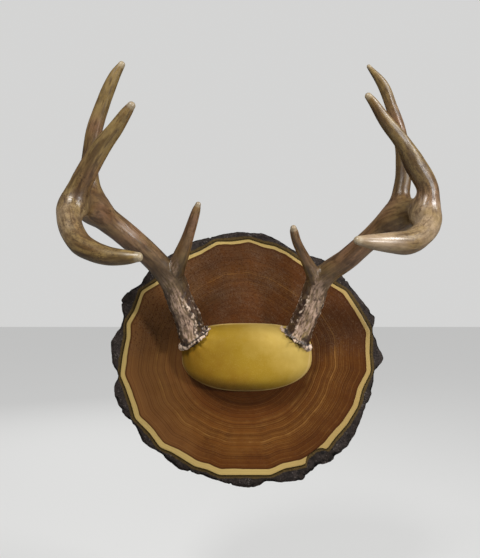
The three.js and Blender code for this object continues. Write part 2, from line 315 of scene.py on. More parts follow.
# Each branch is a row of stations. The fillets are how wide the tines' roots blend into the beam, and warm,
# pale, dark and pores are soft balls of tint as [x, out, z, reach], all in millimetres. The dark balls are
# partly the bone's own darker colour and partly painted shade about the forks and on shaded sides of tines.
antler = {
    "left": {
        "beam": [
            [-51, 38, 10, 12.5], [-65, 52, 30, 15], [-71, 63, 52, 15.3], [-80, 73, 75, 15],
            [-87, 83, 96.5, 15], [-103.8, 99, 118.8, 13.3], [-124, 117, 139.5, 13.6], [-151, 137, 163, 14],
            [-166, 157, 175.5, 15.2], [-173, 182, 178, 13], [-177, 204, 169, 12.2], [-171, 224, 151.5, 11.7],
            [-159, 240, 135, 11], [-143.5, 254, 126, 10.1], [-126, 265, 120.5, 8.8], [-109, 273, 119, 6.8],
            [-97, 277, 119, 4.4],
        ],
        "brow": [
            [-86, 88, 104, 11.5], [-72, 103, 136, 8], [-64, 114, 156, 6.4], [-57, 124, 175, 5],
            [-54, 128, 183, 3.2],
        ],
        "second": [
            [-164, 154, 177, 12.5], [-169, 154, 206, 10.2], [-169, 154, 228, 9], [-163, 158, 259, 8.2],
            [-152, 164, 287, 7.6], [-140, 170, 311, 6], [-131, 173.5, 323.6, 3.8],
        ],
        "third": [
            [-171, 201, 174, 10], [-167.5, 205, 189, 11.3], [-157.5, 211, 206.5, 10.6],
            [-143, 219, 226.5, 9.2], [-128, 226, 243, 7.5], [-116.3, 232, 257, 5.6], [-110.2, 235, 264, 4],
        ],
        "fillet": {"brow": 3.5, "second": 14, "third": 18},
        "warm": [[-124, 117, 140, 42], [-158, 160, 172, 22], [-62, 117, 165, 34], [-150, 205, 205, 16],
                 [-158, 160, 262, 13]],
        "pale": [[-183, 214, 152, 25], [-182, 232, 136, 22], [-76, 60, 64, 30]],
        "dark": [[-92, 90, 108, 32], [-64, 56, 36, 9], [-166, 152, 232, 24], [-158, 168, 190, 14]],
        "pores": [[-164, 242, 142, 26], [-150, 262, 128, 18], [-128, 268, 126, 20], [-166, 215, 172, 22],
                  [-160, 218, 192, 14]],
        "burrTilt": [6.0, 2.5],      # how much farther along the beam the burr lies in front and on the left
        "burrOuter": 2.5,            # extra rise of its outer side
        "wornTo": 0.24,              # radians from the front, inwards, where the worn bone of the base ends
        "inward": 1,                 # the way round the beam that leads to the other antler
        "seed": 11,
    },
    "right": {
        "beam": [
            [49, 37, 9, 12.5], [62.5, 51, 29, 14.8], [72, 62, 52, 14.8], [80, 72, 75, 14.4],
            [86, 82, 95.5, 14.5], [98.7, 94, 109.8, 12.9], [115.8, 112, 123, 12.3], [138.6, 134, 145.6, 12.1],
            [156, 154, 162, 14.8], [170, 176, 168.5, 14.4], [176, 198, 167.5, 12.6], [175.5, 220, 154, 11.9],
            [163.5, 238, 141.5, 11.4], [147.5, 254, 133.3, 11.3], [129, 266, 132.4, 9.5],
            [107, 277, 132.6, 6.3], [95.8, 282, 133.4, 3.9],
        ],
        "brow": [
            [83, 87, 99, 10.5], [72, 101, 117, 7], [63, 112, 131, 5.6], [57, 122, 141, 5.2],
            [53, 131, 152, 4.6], [52, 134, 156, 3.4],
        ],
        "second": [
            [164, 157, 167, 12.5], [165, 157, 189, 9.8], [168, 156, 210, 8.4], [167.3, 156, 236, 7.8],
            [162.5, 159, 259, 7], [153.8, 164, 281, 6.2], [143, 170, 303, 5.6], [127, 175, 321.3, 2.2],
        ],
        "third": [
            [175.5, 208, 163, 11.5], [178.4, 210, 188, 10.6], [163, 216.5, 213, 10.2], [149.8, 222.5, 232, 8],
            [132, 229.5, 251, 6.4], [119.7, 235, 266, 4.5], [114, 237, 272.3, 3.4],
        ],
        "fillet": {"brow": 4.5, "second": 15, "third": 14},
        "warm": [[124, 120, 132, 44], [60, 120, 140, 34], [160, 158, 172, 22], [178, 212, 180, 13],
                 [158, 161, 268, 20]],
        "pale": [[112, 276, 132, 36], [168, 236, 146, 32], [182, 214, 170, 16], [80, 72, 75, 24]],
        "dark": [[88, 86, 100, 28], [70, 50, 42, 11], [164, 157, 215, 22], [138, 216, 234, 16],
                 [151, 213, 212, 15], [160, 188, 163, 15]],
        "pores": [[160, 222, 210, 22], [146, 262, 146, 16], [172, 220, 192, 18], [166, 246, 158, 16]],
        "burrTilt": [7.5, -2.0],
        "burrOuter": 3.6,
        "wornTo": 0.32,
        "inward": -1,
        "seed": 57,
    },
}

bone = {
    "step": 1.5 * mm,            # between samples along a branch
    "sides": 40,                 # of the rough tubes
    "voxel": 0.95 * mm,          # of the mesh that joins them
    "quickVoxel": 1.7 * mm,
    "settleSteps": 4,            # that bring the mesh onto the blended skin
    "burrAt": 25 * mm,           # along the beam
    "burrWidth": 2.6 * mm,
    "burrRise": 5.0 * mm,
    "flareWidth": 10 * mm,       # of the wider stretch on either side of the burr
    "flareRise": 1.8 * mm,
    "burrRound": 21 * mm,        # the radius at which its lumps are drawn
    "baseLength": 78 * mm,       # of the pearled stretch above the burr
    "baseFade": (52 * mm, 112 * mm),     # above the burr, where rough bone gives way to smooth
    "browFade": (8 * mm, 40 * mm),       # the same on the brow tine, from its root
    "tipFade": (15 * mm, 60 * mm),       # from a tip, where the grooves fade out
    "wornFrom": -1.3,            # radians from the front, inwards, where the worn bone begins
    "pearls": 210,
    "crestPearls": 26,
    "grooveDepth": 0.45 * mm,
    "lumps": 0.9 * mm,
}


# How far along the beam the burr's ring lies, for directions round the beam given as (front, left) parts.
def burrPlace(turned, tilt):
    return bone["burrAt"] + (tilt[0] * turned[..., 0] + tilt[1] * turned[..., 1]) * mm


# How much the burr widens the beam at a distance from its ring, and how steeply that changes. It is a narrow
# bell on top of a broad one.
def collarAt(aside):
    ridge = bone["burrRise"] * bell(aside, 0, bone["burrWidth"])
    flare = bone["flareRise"] * bell(aside, 0, bone["flareWidth"])
    steepness = -2 * aside * (ridge / bone["burrWidth"] ** 2 + flare / bone["flareWidth"] ** 2)
    return ridge + flare, steepness


# A branch's line through its stations b and c, with a before and d after them, by Catmull-Rom:
# b + t/2 * (c - a + t * (2a - 5b + 4c - d + t * (3b - a - 3c + d))), sampled at even steps of length. A frame
# is carried along it with the least turning.
def branchLine(stations, tilt=None):
    knots = np.array(stations, float) * (mm, -mm, mm, mm)
    knots = np.vstack([2 * knots[0] - knots[1], knots, 2 * knots[-1] - knots[-2]])
    a, b, c, d = knots[:-3], knots[1:-2], knots[2:-1], knots[3:]
    t = np.linspace(0, 1, 24, endpoint=False)[:, None, None]      # 24 samples between two stations
    dense = b + 0.5 * t * (c - a + t * (2 * a - 5 * b + 4 * c - d + t * (3 * b - a - 3 * c + d)))
    dense = np.vstack([dense.transpose(1, 0, 2).reshape(-1, 4), knots[-2]])
    run = np.r_[0, np.cumsum(np.linalg.norm(np.diff(dense[:, :3], axis=0), axis=1))]
    along = np.linspace(0, run[-1], int(run[-1] / bone["step"]) + 2)
    line = np.stack([np.interp(along, run, column) for column in dense.T], axis=1)
    middle, radius = line[:, :3], line[:, 3]
    ahead = np.gradient(middle, axis=0)
    ahead /= np.linalg.norm(ahead, axis=1, keepdims=True)
    front = np.empty_like(ahead)
    last = np.array([0.0, -1.0, 0.0])
    for i, direction in enumerate(ahead):
        last = last - direction * (last @ direction)
        last = last / np.linalg.norm(last)
        front[i] = last
    slope = np.gradient(radius, along)
    return {"along": along, "middle": middle, "radius": radius, "slope": slope, "ahead": ahead,
            "front": front, "left": np.cross(ahead, front), "length": along[-1], "tilt": tilt}


# A round tube along a branch, closed by a pole at its root and a rounded end at its tip. The main beam, which
# is the branch with a tilt, has the burr's collar.
def branchTube(branch):
    angle = np.linspace(0, 2 * math.pi, bone["sides"], endpoint=False)
    turned = np.stack([np.cos(angle), np.sin(angle)], axis=-1)
    around = branch["front"][:, None] * turned[:, :1] + branch["left"][:, None] * turned[:, 1:]
    radius = np.repeat(branch["radius"][:, None], bone["sides"], axis=1)
    if branch["tilt"]:
        radius += collarAt(branch["along"][:, None] - burrPlace(turned, branch["tilt"]))[0]
    rings = branch["middle"][:, None] + around * radius[..., None]
    tip, size = branch["middle"][-1], branch["radius"][-1]
    turn = np.radians([30, 60])[:, None, None]
    cap = tip + around[-1] * size * np.cos(turn) + branch["ahead"][-1] * size * np.sin(turn)
    rings = np.vstack([rings, cap])
    points = np.vstack([rings.reshape(-1, 3), branch["middle"][0], tip + branch["ahead"][-1] * size])
    sides, count = bone["sides"], len(rings)
    root = fanFaces(count * sides, np.arange(sides)[::-1])
    end = fanFaces(count * sides + 1, np.arange(sides) + (count - 1) * sides)
    return points, [gridFaces(count, sides), root, end]


# Where points lie about a branch: the nearest place along it, the distance to its skin (from the line,
# less the radius there) and the direction in which that distance grows.
def aboutBranch(points, branch):
    middle = branch["middle"]
    nearest = np.empty(len(points), int)
    size = (middle ** 2).sum(axis=1)
    batch = 8000                 # points at a time, to keep the table of distances small
    for start in range(0, len(points), batch):
        part = points[start:start + batch]
        nearest[start:start + batch] = np.argmin(size - 2 * part @ middle.T, axis=1)
    ahead = branch["ahead"][nearest]
    offset = points - middle[nearest]
    forward = np.clip((offset * ahead).sum(axis=1), -bone["step"] / 2, bone["step"] / 2)
    forward = np.where((nearest == 0) & (forward < 0), 0, forward)
    forward = np.where((nearest == len(middle) - 1) & (forward > 0), 0, forward)
    along = branch["along"][nearest] + forward
    offset -= ahead * forward[:, None]
    reach = np.linalg.norm(offset, axis=1) + 1e-9
    outward = offset / reach[:, None]
    slope = np.interp(along, branch["along"], branch["slope"])
    radius = np.interp(along, branch["along"], branch["radius"])
    turned = np.stack([(outward * branch["front"][nearest]).sum(axis=1),
                       (outward * branch["left"][nearest]).sum(axis=1)], axis=1)
    if branch["tilt"]:
        collar, steepness = collarAt(along - burrPlace(turned, branch["tilt"]))
        radius += collar
        slope = slope + steepness
    return {"along": along, "distance": reach - radius, "grows": outward - ahead * slope[:, None],
            "turned": turned, "reach": reach}


# The skin round the beam and the tines together. Two distances closer than the fillet's width k blend as
# min(a, b) - k * h * h / 4 with h = 1 - |a - b| / k, which rounds the crotch of each fork.
def aboutAntler(points, branches, given):
    beam = aboutBranch(points, branches["beam"])
    distance, grows = beam["distance"], beam["grows"]
    owner = np.zeros(len(points), int)
    found = [beam]
    for number, name in enumerate(given["fillet"], start=1):
        tine = aboutBranch(points, branches[name])
        found.append(tine)
        width = given["fillet"][name] * mm
        share = np.clip(0.5 + 0.5 * (tine["distance"] - distance) / width, 0, 1)
        owner = np.where(tine["distance"] < distance, number, owner)
        meet = np.clip(1 - np.abs(distance - tine["distance"]) / width, 0, 1)
        distance = np.minimum(distance, tine["distance"]) - width * meet ** 2 / 4
        grows = grows * share[:, None] + tine["grows"] * (1 - share[:, None])
    return distance, grows, owner, found


# Bumps scattered on the rough base. Each is a bell of its own height, width and length about a place given
# by its distance along the beam and its angle round it. The highest bell at a point counts.
def pearlHeight(along, angle, radius, pearls):
    height = np.zeros(len(along))
    for at, turn, width, length, rise in pearls:
        aside = np.angle(np.exp(1j * (angle - turn))) * radius
        height = np.maximum(height, rise * np.exp(-((along - at) / length) ** 2 - (aside / width) ** 2))
    return height


def scatterPearls(draw, given):
    inward, pearls = given["inward"], []
    for i in range(bone["pearls"]):
        share = draw.random() ** 1.2
        at = bone["burrAt"] + 6 * mm + share * bone["baseLength"]
        side = draw.choice([inward * 1.35, -inward * 1.75, math.pi], p=[0.42, 0.33, 0.25])
        turn = side + draw.normal(0, 0.33)      # about the inner side, the outer side or the back
        width = draw.uniform(0.9, 1.6) * mm
        rise = draw.uniform(0.5, 1.5) * mm * (1 - 0.5 * share)
        pearls.append((at, turn, width, width * draw.uniform(1.0, 2.4), rise))
    for i in range(bone["crestPearls"]):        # a broken crest between the worn front and the rough side
        at = bone["burrAt"] + draw.uniform(8, 66) * mm
        turn = inward * (given["wornTo"] + 0.06 + 0.12 * math.sin(at * 130) + draw.normal(0, 0.07))
        pearls.append((at, turn, draw.uniform(0.9, 1.5) * mm, draw.uniform(1.6, 3.6) * mm,
                       draw.uniform(0.7, 1.5) * mm))
    return pearls


# The burr's relief: a wavy, lumpy crest from two sizes of noise round its ring, and narrow clefts across it.
def burrRelief(aside, angle, seed):
    circle = np.stack([np.cos(angle), np.sin(angle)], axis=1) * bone["burrRound"]
    wave = (noiseAt(np.column_stack([circle, aside * 0]), 11 * mm, seed + 21) - 0.5) * 4.5 * mm
    aside = aside + wave
    place = np.column_stack([circle, aside * 0.7])
    crest = bell(aside, 0, 2.4 * mm)
    lumps = (noiseAt(place, 4.6 * mm, seed + 22) - 0.4) * 2.8 * mm
    lumps += (noiseAt(place, 2.1 * mm, seed + 23) - 0.5) * 2.2 * mm
    cleft = valleyAt(np.column_stack([circle, aside * 0.25]), 3.1 * mm, seed + 24, 0.58, 0.9)
    cleft = cleft * bell(aside, 0, 4 * mm)
    return crest * lumps - cleft * 1.9 * mm, crest, cleft, aside


# A tint over an antler: soft balls about places given as [x, out, z, reach]. The strongest counts.
def tintAt(points, places):
    middles, reaches = np.array(places)[:, :3] * (mm, -mm, mm), np.array(places)[:, 3] * mm
    away = np.linalg.norm(points[:, None] - middles, axis=2)
    return bell(away, 0, reaches).max(axis=1)


# The branches' tubes joined by a voxel mesh.
def joinTubes(name, branches):
    points, faces, first = [], [], 0
    for branch in branches.values():
        tube, tubeFaces = branchTube(branch)
        points.append(tube)
        faces += [part + first for part in tubeFaces]
        first += len(tube)
    piece = newPiece(name, np.vstack(points), faces)
    remesh = piece.modifiers.new("join", "REMESH")
    remesh.mode = "VOXEL"
    remesh.voxel_size = bone["voxel"]
    applyModifiers(piece).name = name
    return piece


# One antler as a single skin: its joined tubes' points settle on the blended skin and then move along its
# direction by the lumps, grooves and pearls of the bone.
def buildAntler(hand):
    given = antler[hand]
    inward, seed = given["inward"], given["seed"]
    draw = np.random.default_rng(seed)
    names = ("beam", "brow", "second", "third")
    tilts = {"beam": given["burrTilt"]}
    branches = {name: branchLine(given[name], tilts.get(name)) for name in names}
    piece = joinTubes(f"{hand}_antler", branches)
    mesh = piece.data
    skin = pointsOf(mesh)
    for settle in range(bone["settleSteps"]):
        distance, grows, owner, found = aboutAntler(skin, branches, given)
        skin -= grows * (distance / (grows ** 2).sum(axis=1))[:, None]
    distance, grows, owner, found = aboutAntler(skin, branches, given)
    normal = grows / np.linalg.norm(grows, axis=1, keepdims=True)

    def ofOwner(key):            # each point's value about the branch that it belongs to
        return np.stack([about[key] for about in found])[owner, np.arange(len(skin))]

    along, turned, reach = ofOwner("along"), ofOwner("turned"), ofOwner("reach")
    toTip = np.array([branches[name]["length"] for name in names])[owner] - along
    onBeam, onBrow = owner == 0, owner == 1
    grain = np.column_stack([along + owner * 0.7, turned * reach[:, None]])     # 0.7 m sets branches apart
    angle = np.arctan2(turned[:, 1], turned[:, 0])
    farOff = 1.0                 # metres, for the tines
    fromBurr = np.where(onBeam, along - burrPlace(turned, given["burrTilt"]), farOff)

    # How rough the base is, and where its front is worn smooth and pale.
    base = np.where(onBeam, 1 - ease(along - bone["burrAt"], *bone["baseFade"]), 0)
    base = np.maximum(base, np.where(onBrow, 0.5 * (1 - ease(along, *bone["browFade"])), 0))
    ragged = 0.35 * (noiseAt(skin, 8 * mm, seed + 3) - 0.5) + 0.35 * (noiseAt(skin, 3 * mm, seed + 4) - 0.5)
    inner = angle * inward + ragged
    # Near the burr the worn front narrows on the outer side, so the dark side spreads: partly stain, partly
    # painted shade.
    outerEdge = bone["wornFrom"] + 0.75 * bell(fromBurr, 0, 13 * mm)
    worn = 1 - ease(inner, given["wornTo"] - 0.1, given["wornTo"] + 0.12)
    worn = worn * ease(inner - outerEdge, 0, 0.35)
    near = onBeam & (along < bone["burrAt"] + bone["baseLength"] + 20 * mm)
    pearls = np.zeros(len(skin))
    pearls[near] = pearlHeight(along[near], angle[near], reach[near], scatterPearls(draw, given))
    relief, crest, cleft, fromCrest = burrRelief(fromBurr, angle, seed)
    outerSide = ease(-np.sin(angle) * inward, 0.1, 1.0) * onBeam
    relief += outerSide * given["burrOuter"] * mm * (0.15 * crest + 0.65 * bell(fromBurr, 3 * mm, 15 * mm))

    # Narrow channels and wider hollows along the grain, broad lumps, and pits on the rough base.
    fading = ease(toTip, *bone["tipFade"])
    channel = valleyAt(grain * (0.1, 1, 1), 2.6 * mm, seed + 5, 0.8) * fading
    hollow = valleyAt(grain * (0.09, 1, 1), 5.5 * mm, seed + 9, 0.6) * fading
    lumps = (noiseAt(skin, 26 * mm, seed) - 0.5) * 0.9 + (noiseAt(skin, 9 * mm, seed + 2) - 0.5) * 0.25
    pits = roughAt(grain * (0.45, 1, 1), 3 * mm, seed + 14) - 0.5
    move = lumps * bone["lumps"] * (0.35 + 0.65 * fading)
    move -= bone["grooveDepth"] * (channel * (0.35 + base) + 0.5 * hollow)
    move += pearls * (1 - 0.7 * worn)
    move += pits * 1.5 * mm * base * (1 - 0.75 * worn)
    move += relief
    skin += normal * move[:, None]
    setPoints(mesh, skin)

    for tint in ("warm", "pale", "dark", "pores"):
        setAttribute(mesh, tint, tintAt(skin, given[tint]))
    setAttribute(mesh, "grain", grain)
    setAttribute(mesh, "base", base)
    setAttribute(mesh, "worn", worn)
    setAttribute(mesh, "pearl", np.clip(pearls / (1.4 * mm), 0, 1))
    setAttribute(mesh, "burr", crest)
    setAttribute(mesh, "cleft", cleft)
    # Painted shadow under the burr's crest, on the root side.
    setAttribute(mesh, "under", np.where(onBeam, 1 - ease(fromCrest, -3.2 * mm, -1.6 * mm), 0))
    setAttribute(mesh, "groove", np.clip(channel * 0.8 + hollow * 0.35 - 2.5 * pits * base, 0, 1))
    setAttribute(mesh, "toTip", toTip)
    mesh.shade_smooth()
    mesh.materials.append(boneMaterial)
    parts = ("lower_beam", "upper_beam", "brow_tine", "second_tine", "third_tine")
    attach(piece, "root")
    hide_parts(*[f"{hand}_{part}" for part in parts])
    print(f"{piece.name}: {len(mesh.polygons)} faces")


boneColour = {
    "olive": (0.255, 0.168, 0.056),
    "tan": (0.145, 0.077, 0.021),
    "warm": (0.245, 0.126, 0.068),
    "pinkish": (0.42, 0.305, 0.20),
    "umber": (0.055, 0.026, 0.009),
    "stain": (0.013, 0.0065, 0.0035),
    "pore": (0.042, 0.018, 0.006),
    "redStain": (0.048, 0.019, 0.010),
    "forkShade": (0.050, 0.025, 0.010),
    "pale": (0.57, 0.385, 0.28),
    "white": (0.80, 0.61, 0.46),
    "tip": (0.50, 0.42, 0.29),
}


def buildBoneMaterial():
    material, tree, shader = newMaterial("antler_bone")
    paint = painter(tree, boneColour)
    place = objectPlace(tree)
    grain = attribute(tree, "grain", "Vector")
    base, worn, pearl = attribute(tree, "base"), attribute(tree, "worn"), attribute(tree, "pearl")
    burr, cleft, groove = attribute(tree, "burr"), attribute(tree, "cleft"), attribute(tree, "groove")
    warm, pale, toTip = attribute(tree, "warm"), attribute(tree, "pale"), attribute(tree, "toTip")
    drawn = stretched(tree, grain, (0.14, 1, 1))

    # The polished bone: olive and tan in long uneven bands, reddish or pale in places, with darker streaks
    # along the grain and clusters of small dark pores.
    bands = remap(tree, noiseMask(tree, stretched(tree, grain, (0.3, 1, 1)), 70.0, 3.0), 0.32, 0.56)
    colour = mixColour(tree, bands, boneColour["tan"], boneColour["olive"])
    paleShare = remap(tree, mottle(tree, place, 40.0), 0.1, 0.8, 0.35, 0.9)
    colour = paint(colour, "pinkish", pale, paleShare)
    warmShare = remap(tree, mottle(tree, place, 32.0), 0.0, 0.7, 0.5, 0.95)
    colour = paint(colour, "warm", warm, warmShare)
    wide = remap(tree, noiseMask(tree, drawn, 150.0, 2.0), 0.5, 0.68)
    fine = remap(tree, noiseMask(tree, drawn, 420.0, 3.0), 0.5, 0.68)
    patches = remap(tree, mottle(tree, place, 42.0, 1.3), 0.62, 0.95)
    quiet = remap(tree, pale, 0.2, 0.8, 1.0, 0.35)      # the streaks are fainter on pale bone
    for streaks, strength in ((wide, 0.62), (fine, 0.7), (patches, 0.38)):
        colour = paint(colour, "umber", streaks, times(tree, quiet, strength))
    # Darker about the forks and on the shaded sides of some tines: partly the bone's own colour, partly
    # painted shade.
    shade = remap(tree, mottle(tree, place, 60.0), 0.0, 0.9, 0.85, 0.4)
    colour = paint(colour, "forkShade", attribute(tree, "dark"), shade)
    small, large = flecks(tree, place, 1200.0, 0.58, 0.06, 0.5), flecks(tree, place, 700.0, 0.61, 0.06, 0.6)
    poreShare = remap(tree, attribute(tree, "pores"), 0.1, 0.7, 0.1, 0.75)
    colour = paint(colour, "pore", maths(tree, "MAXIMUM", small, large), poreShare)
    colour = paint(colour, "umber", groove, 0.5)

    # The base: its front is worn pale between dark, pearled sides; their darkness is stain and, on the outer
    # side near the burr, partly painted shade.
    streaky = noiseMask(tree, stretched(tree, grain, (0.2, 1, 1)), 420.0, 3.0)
    patchy = remap(tree, mottle(tree, place, 70.0, 1.2), 0.05, 0.6, 0.4, 1.0)
    wearAndHighlight = times(tree, remap(tree, streaky, 0.4, 0.6, 1.0, 0.05), patchy)
    colour = paint(colour, "pale", times(tree, base, worn), wearAndHighlight)
    stain = mixColour(tree, mottle(tree, place, 60.0, 1.5), boneColour["stain"], boneColour["redStain"])
    side = times(tree, base, minus(tree, 1.0, worn))
    side = times(tree, side, remap(tree, mottle(tree, place, 150.0, 1.5), 0.1, 0.9, 1.0, 0.6))
    colour = mixColour(tree, side, colour, stain)
    blots = flecks(tree, stretched(tree, grain, (0.5, 1, 1)), 420.0, 0.52, 0.16, 0.5)
    colour = paint(colour, "redStain", blots, times(tree, base, 0.8))
    bare = remap(tree, mottle(tree, place, 200.0, 1.6), 0.15, 0.6)
    colour = paint(colour, "white", times(tree, remap(tree, pearl, 0.25, 0.7), bare), 0.9)

    # The burr: a pale crest with dark clefts, a thin dark line above it and painted shadow on its underside.
    above = times(tree, remap(tree, burr, 0.02, 0.2), remap(tree, burr, 0.5, 0.3))
    colour = paint(colour, "stain", above, 0.8)
    knobs = remap(tree, mottle(tree, place, 190.0, 1.4), 0.0, 0.5)
    crest = mixColour(tree, knobs, boneColour["pale"], boneColour["white"])
    crest = paint(crest, "stain", cleft, 0.92)
    colour = mixColour(tree, remap(tree, burr, 0.42, 0.6), colour, crest)
    colour = paint(colour, "stain", attribute(tree, "under"), 0.95)
    colour = paint(colour, "tip", remap(tree, toTip, 3.5 * mm, 0.3 * mm), 0.45)

    rough = remap(tree, mottle(tree, place, 140.0), 0.0, 1.0, 0.34, 0.48)
    rough = minus(tree, rough, times(tree, maths(tree, "MAXIMUM", warm, pale), 0.1))
    rough = plus(tree, rough, times(tree, base, 0.1))
    height = plus(tree, times(tree, fine, -0.7), noiseMask(tree, place, 700.0, 2.0))
    fill(tree, shader, {
        "Base Color": colour, "Roughness": rough, "Specular IOR Level": 0.5, "Coat Weight": 0.22,
        "Coat Roughness": 0.36, "Normal": bump(tree, height, 0.05 * mm, 0.5)})
    return material


slab = {
    "depth": 32 * mm,
    "barkStepBack": 2 * mm,
    "cornerBlur": 1.1,            # degrees, rounds the fluted outline's corners
    "sapwood": 6.3 * mm,
    "sapwoodLean": 0.014,         # how much it thins with height
    "breakFrom": -61.5,           # degrees, where the sapwood is broken off
    "breakTo": -48,
    "ringShares": (0.0, 0.35, 0.55, 0.7, 1.0),    # of the way out, where rings follow each blurred outline
    "ringBlurs": (60, 24, 8, 2.5, 0.6),           # degrees
    "chamfer": 0.8 * mm,
    "angles": 720,
    "barkAngles": 1300,
}


# A closed outline's reach from the middle at even angles, from the CAD slice's points at one depth that lie
# beyond a given reach. It runs straight from corner to corner, and is then blurred to round the corners.
def outlineReach(depth, angles, blur, beyond=None):
    flat = pointsOf(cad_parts["log_slice"].data)
    least = 120 * mm             # clear of the screw holes and the hanger's pocket
    if beyond is not None:
        least = reachAt(np.arctan2(flat[:, 2], flat[:, 0]), *beyond) + 3 * mm
    corners = flat[(np.abs(flat[:, 1] + depth) < 0.05 * mm) & (np.hypot(flat[:, 0], flat[:, 2]) > least)]
    corners = corners[np.argsort(np.arctan2(corners[:, 2], corners[:, 0]))][:, [0, 2]]
    turn = np.arctan2(corners[:, 1], corners[:, 0])
    keep = np.r_[True, np.diff(turn) > 1e-4]
    corners, turn = corners[keep], turn[keep]
    corners = np.vstack([corners[-1:], corners, corners[:1]])
    turn = np.r_[turn[-1] - 2 * math.pi, turn, turn[0] + 2 * math.pi]
    angle = np.linspace(-math.pi, math.pi, angles, endpoint=False)
    before = np.clip(np.searchsorted(turn, angle, side="right") - 1, 0, len(turn) - 2)
    start, step = corners[before], corners[before + 1] - corners[before]
    ray = np.stack([np.cos(angle), np.sin(angle)], axis=1)
    reach = start[:, 0] * step[:, 1] - start[:, 1] * step[:, 0]
    reach = reach / (ray[:, 0] * step[:, 1] - ray[:, 1] * step[:, 0])
    return angle, blurred(reach, blur * angles / 360)


# A closed row of values blurred by a bell of the given width in steps.
def blurred(values, width):
    steps = np.arange(len(values))
    kernel = bell(np.minimum(steps, len(values) - steps), 0, width)
    return np.real(np.fft.ifft(np.fft.fft(values) * np.fft.fft(kernel / kernel.sum())))


def reachAt(angle, angles, reach):
    return np.interp(angle, np.r_[angles, math.pi], np.r_[reach, reach[0]])


# The wood's outline with a deeper, ragged edge where the sapwood is broken off.
def bitten(angle, reach):
    degrees = np.degrees(angle)
    start, end = slab["breakFrom"], slab["breakTo"]
    place = np.stack([angle * 0.15, angle * 0, angle * 0], axis=1)      # the way round a rim 0.15 m in radius
    depth = 1.6 * mm + 3.2 * mm * noiseAt(place, 4 * mm, 91)
    return angle, reach - depth * ease(degrees, start, start + 1.5) * (1 - ease(degrees, end - 2, end - 0.5))


# The wood's own outline with the break bridged by an even run, from a little before it to a little after.
def unbrokenReach(angle, reach):
    degrees = np.degrees(angle)
    ends = [slab["breakFrom"] - 0.8, slab["breakTo"] + 0.8]
    inside = (degrees > ends[0]) & (degrees < ends[1])
    whole = reach.copy()
    whole[inside] = np.interp(degrees[inside], ends, np.interp(ends, degrees, reach))
    return whole


# The outline that a growth ring follows, by its share of the way out: the rim's own near the bark, and ever
# smoother and rounder inwards, by blending copies of the outline blurred more and more.
def ringOutline(share, turnOf, angle, whole):
    steps = slab["ringShares"]
    widths = [blur * len(angle) / 360 for blur in slab["ringBlurs"]]
    copies = [reachAt(turnOf, angle, blurred(whole, width)) for width in widths]
    followed = copies[0]
    for low, high, copy in zip(steps[:-1], steps[1:], copies[1:]):
        followed = followed + (copy - followed) * ease(share, low, high)
    return followed


# The wood: rings of points that shrink the outline by a share, across the face, round a small chamfer, down
# the side and across the back. Cutters for the hanger's recess and pocket and the screws come out of it.
def buildWood():
    angle, sound = outlineReach(slab["depth"], slab["angles"], slab["cornerBlur"])
    angle, reach = bitten(angle, sound)
    across = np.linspace(0, 1, 46)[1:-1]
    edge, deep = slab["chamfer"], slab["depth"]
    turn = np.radians([0, 30, 60, 90])
    profile = [(share, 0.0, -deep) for share in across]
    profile += [(1.0, edge * (math.sin(t) - 1), -deep + edge * (1 - math.cos(t))) for t in turn]
    profile += [(1.0, 0.0, y) for y in np.linspace(-deep + edge, -edge, 8)[1:-1]]
    profile += [(1.0, edge * (math.sin(t) - 1), -edge * (1 - math.cos(t))) for t in turn[::-1]]
    profile += [(share, 0.0, 0.0) for share in across[::-1]]
    share, inset, y = np.array(profile).T
    points = ringPoints(reach[None, :] * share[:, None] + inset[:, None], angle, y)
    face = np.abs(points[..., 1] + deep) < 0.01 * mm
    ripple = noiseAt(points.reshape(-1, 3), 30 * mm, 21).reshape(face.shape) - 0.5
    points[..., 1] += face * ripple * 0.25 * mm
    flat = np.vstack([points.reshape(-1, 3), [0, -deep, 0], [0, 0, 0]])
    piece = newPiece("slice_wood", flat, closedFaces(*face.shape))
    cutters = buildCutters()
    for cutter in cutters:
        cut = piece.modifiers.new("cut", "BOOLEAN")
        cut.operation = "DIFFERENCE"
        cut.solver = "EXACT"
        cut.object = cutter
    mesh = applyModifiers(piece)
    mesh.name = piece.name
    for cutter in cutters:
        bpy.data.objects.remove(cutter)

    skin = pointsOf(mesh)
    turnOf = np.arctan2(skin[:, 2], skin[:, 0])
    radius = np.hypot(skin[:, 0], skin[:, 2])
    whole = unbrokenReach(angle, sound)
    outer = reachAt(turnOf, angle, whole)
    followed = ringOutline(radius / outer, turnOf, angle, whole)
    setAttribute(mesh, "ring", radius / followed * np.mean(whole))
    setAttribute(mesh, "rim", outer - radius)
    setAttribute(mesh, "face", (skin[:, 1] < -deep + 3 * mm).astype(float))
    mesh.shade_smooth()
    mesh.set_sharp_from_angle(angle=math.radians(35))
    mesh.materials.append(woodMaterial)
    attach(piece, "root")
    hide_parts("log_slice")
    print(f"{piece.name}: {len(mesh.polygons)} faces")


hangerCuts = {
    "height": 95 * mm,
    "recess": (63 * mm, 13 * mm, 2.4 * mm, 1 * mm),    # length, width, depth, corner
    "pocket": (44 * mm, 30 * mm, 12 * mm, 5 * mm),
    "pocketDrop": 6 * mm,
    "screwSpacing": 70 * mm,
    "screwHeight": 0.5 * mm,
    "screwHead": 4.8 * mm,        # radius
    "screwHeadDepth": 4.5 * mm,
    "screwHole": 2.5 * mm,        # radius
}


# A closed solid between two depths over an outline of [x, z] points.
def prism(name, outline, fromY, toY):
    outline = np.asarray(outline)
    count = len(outline)
    ends = [np.insert(outline, 1, y, axis=1) for y in (fromY, toY)]
    faces = [gridFaces(2, count), np.arange(count)[None, ::-1], np.arange(count)[None] + count]
    return newPiece(name, np.vstack(ends), faces, smooth=False)


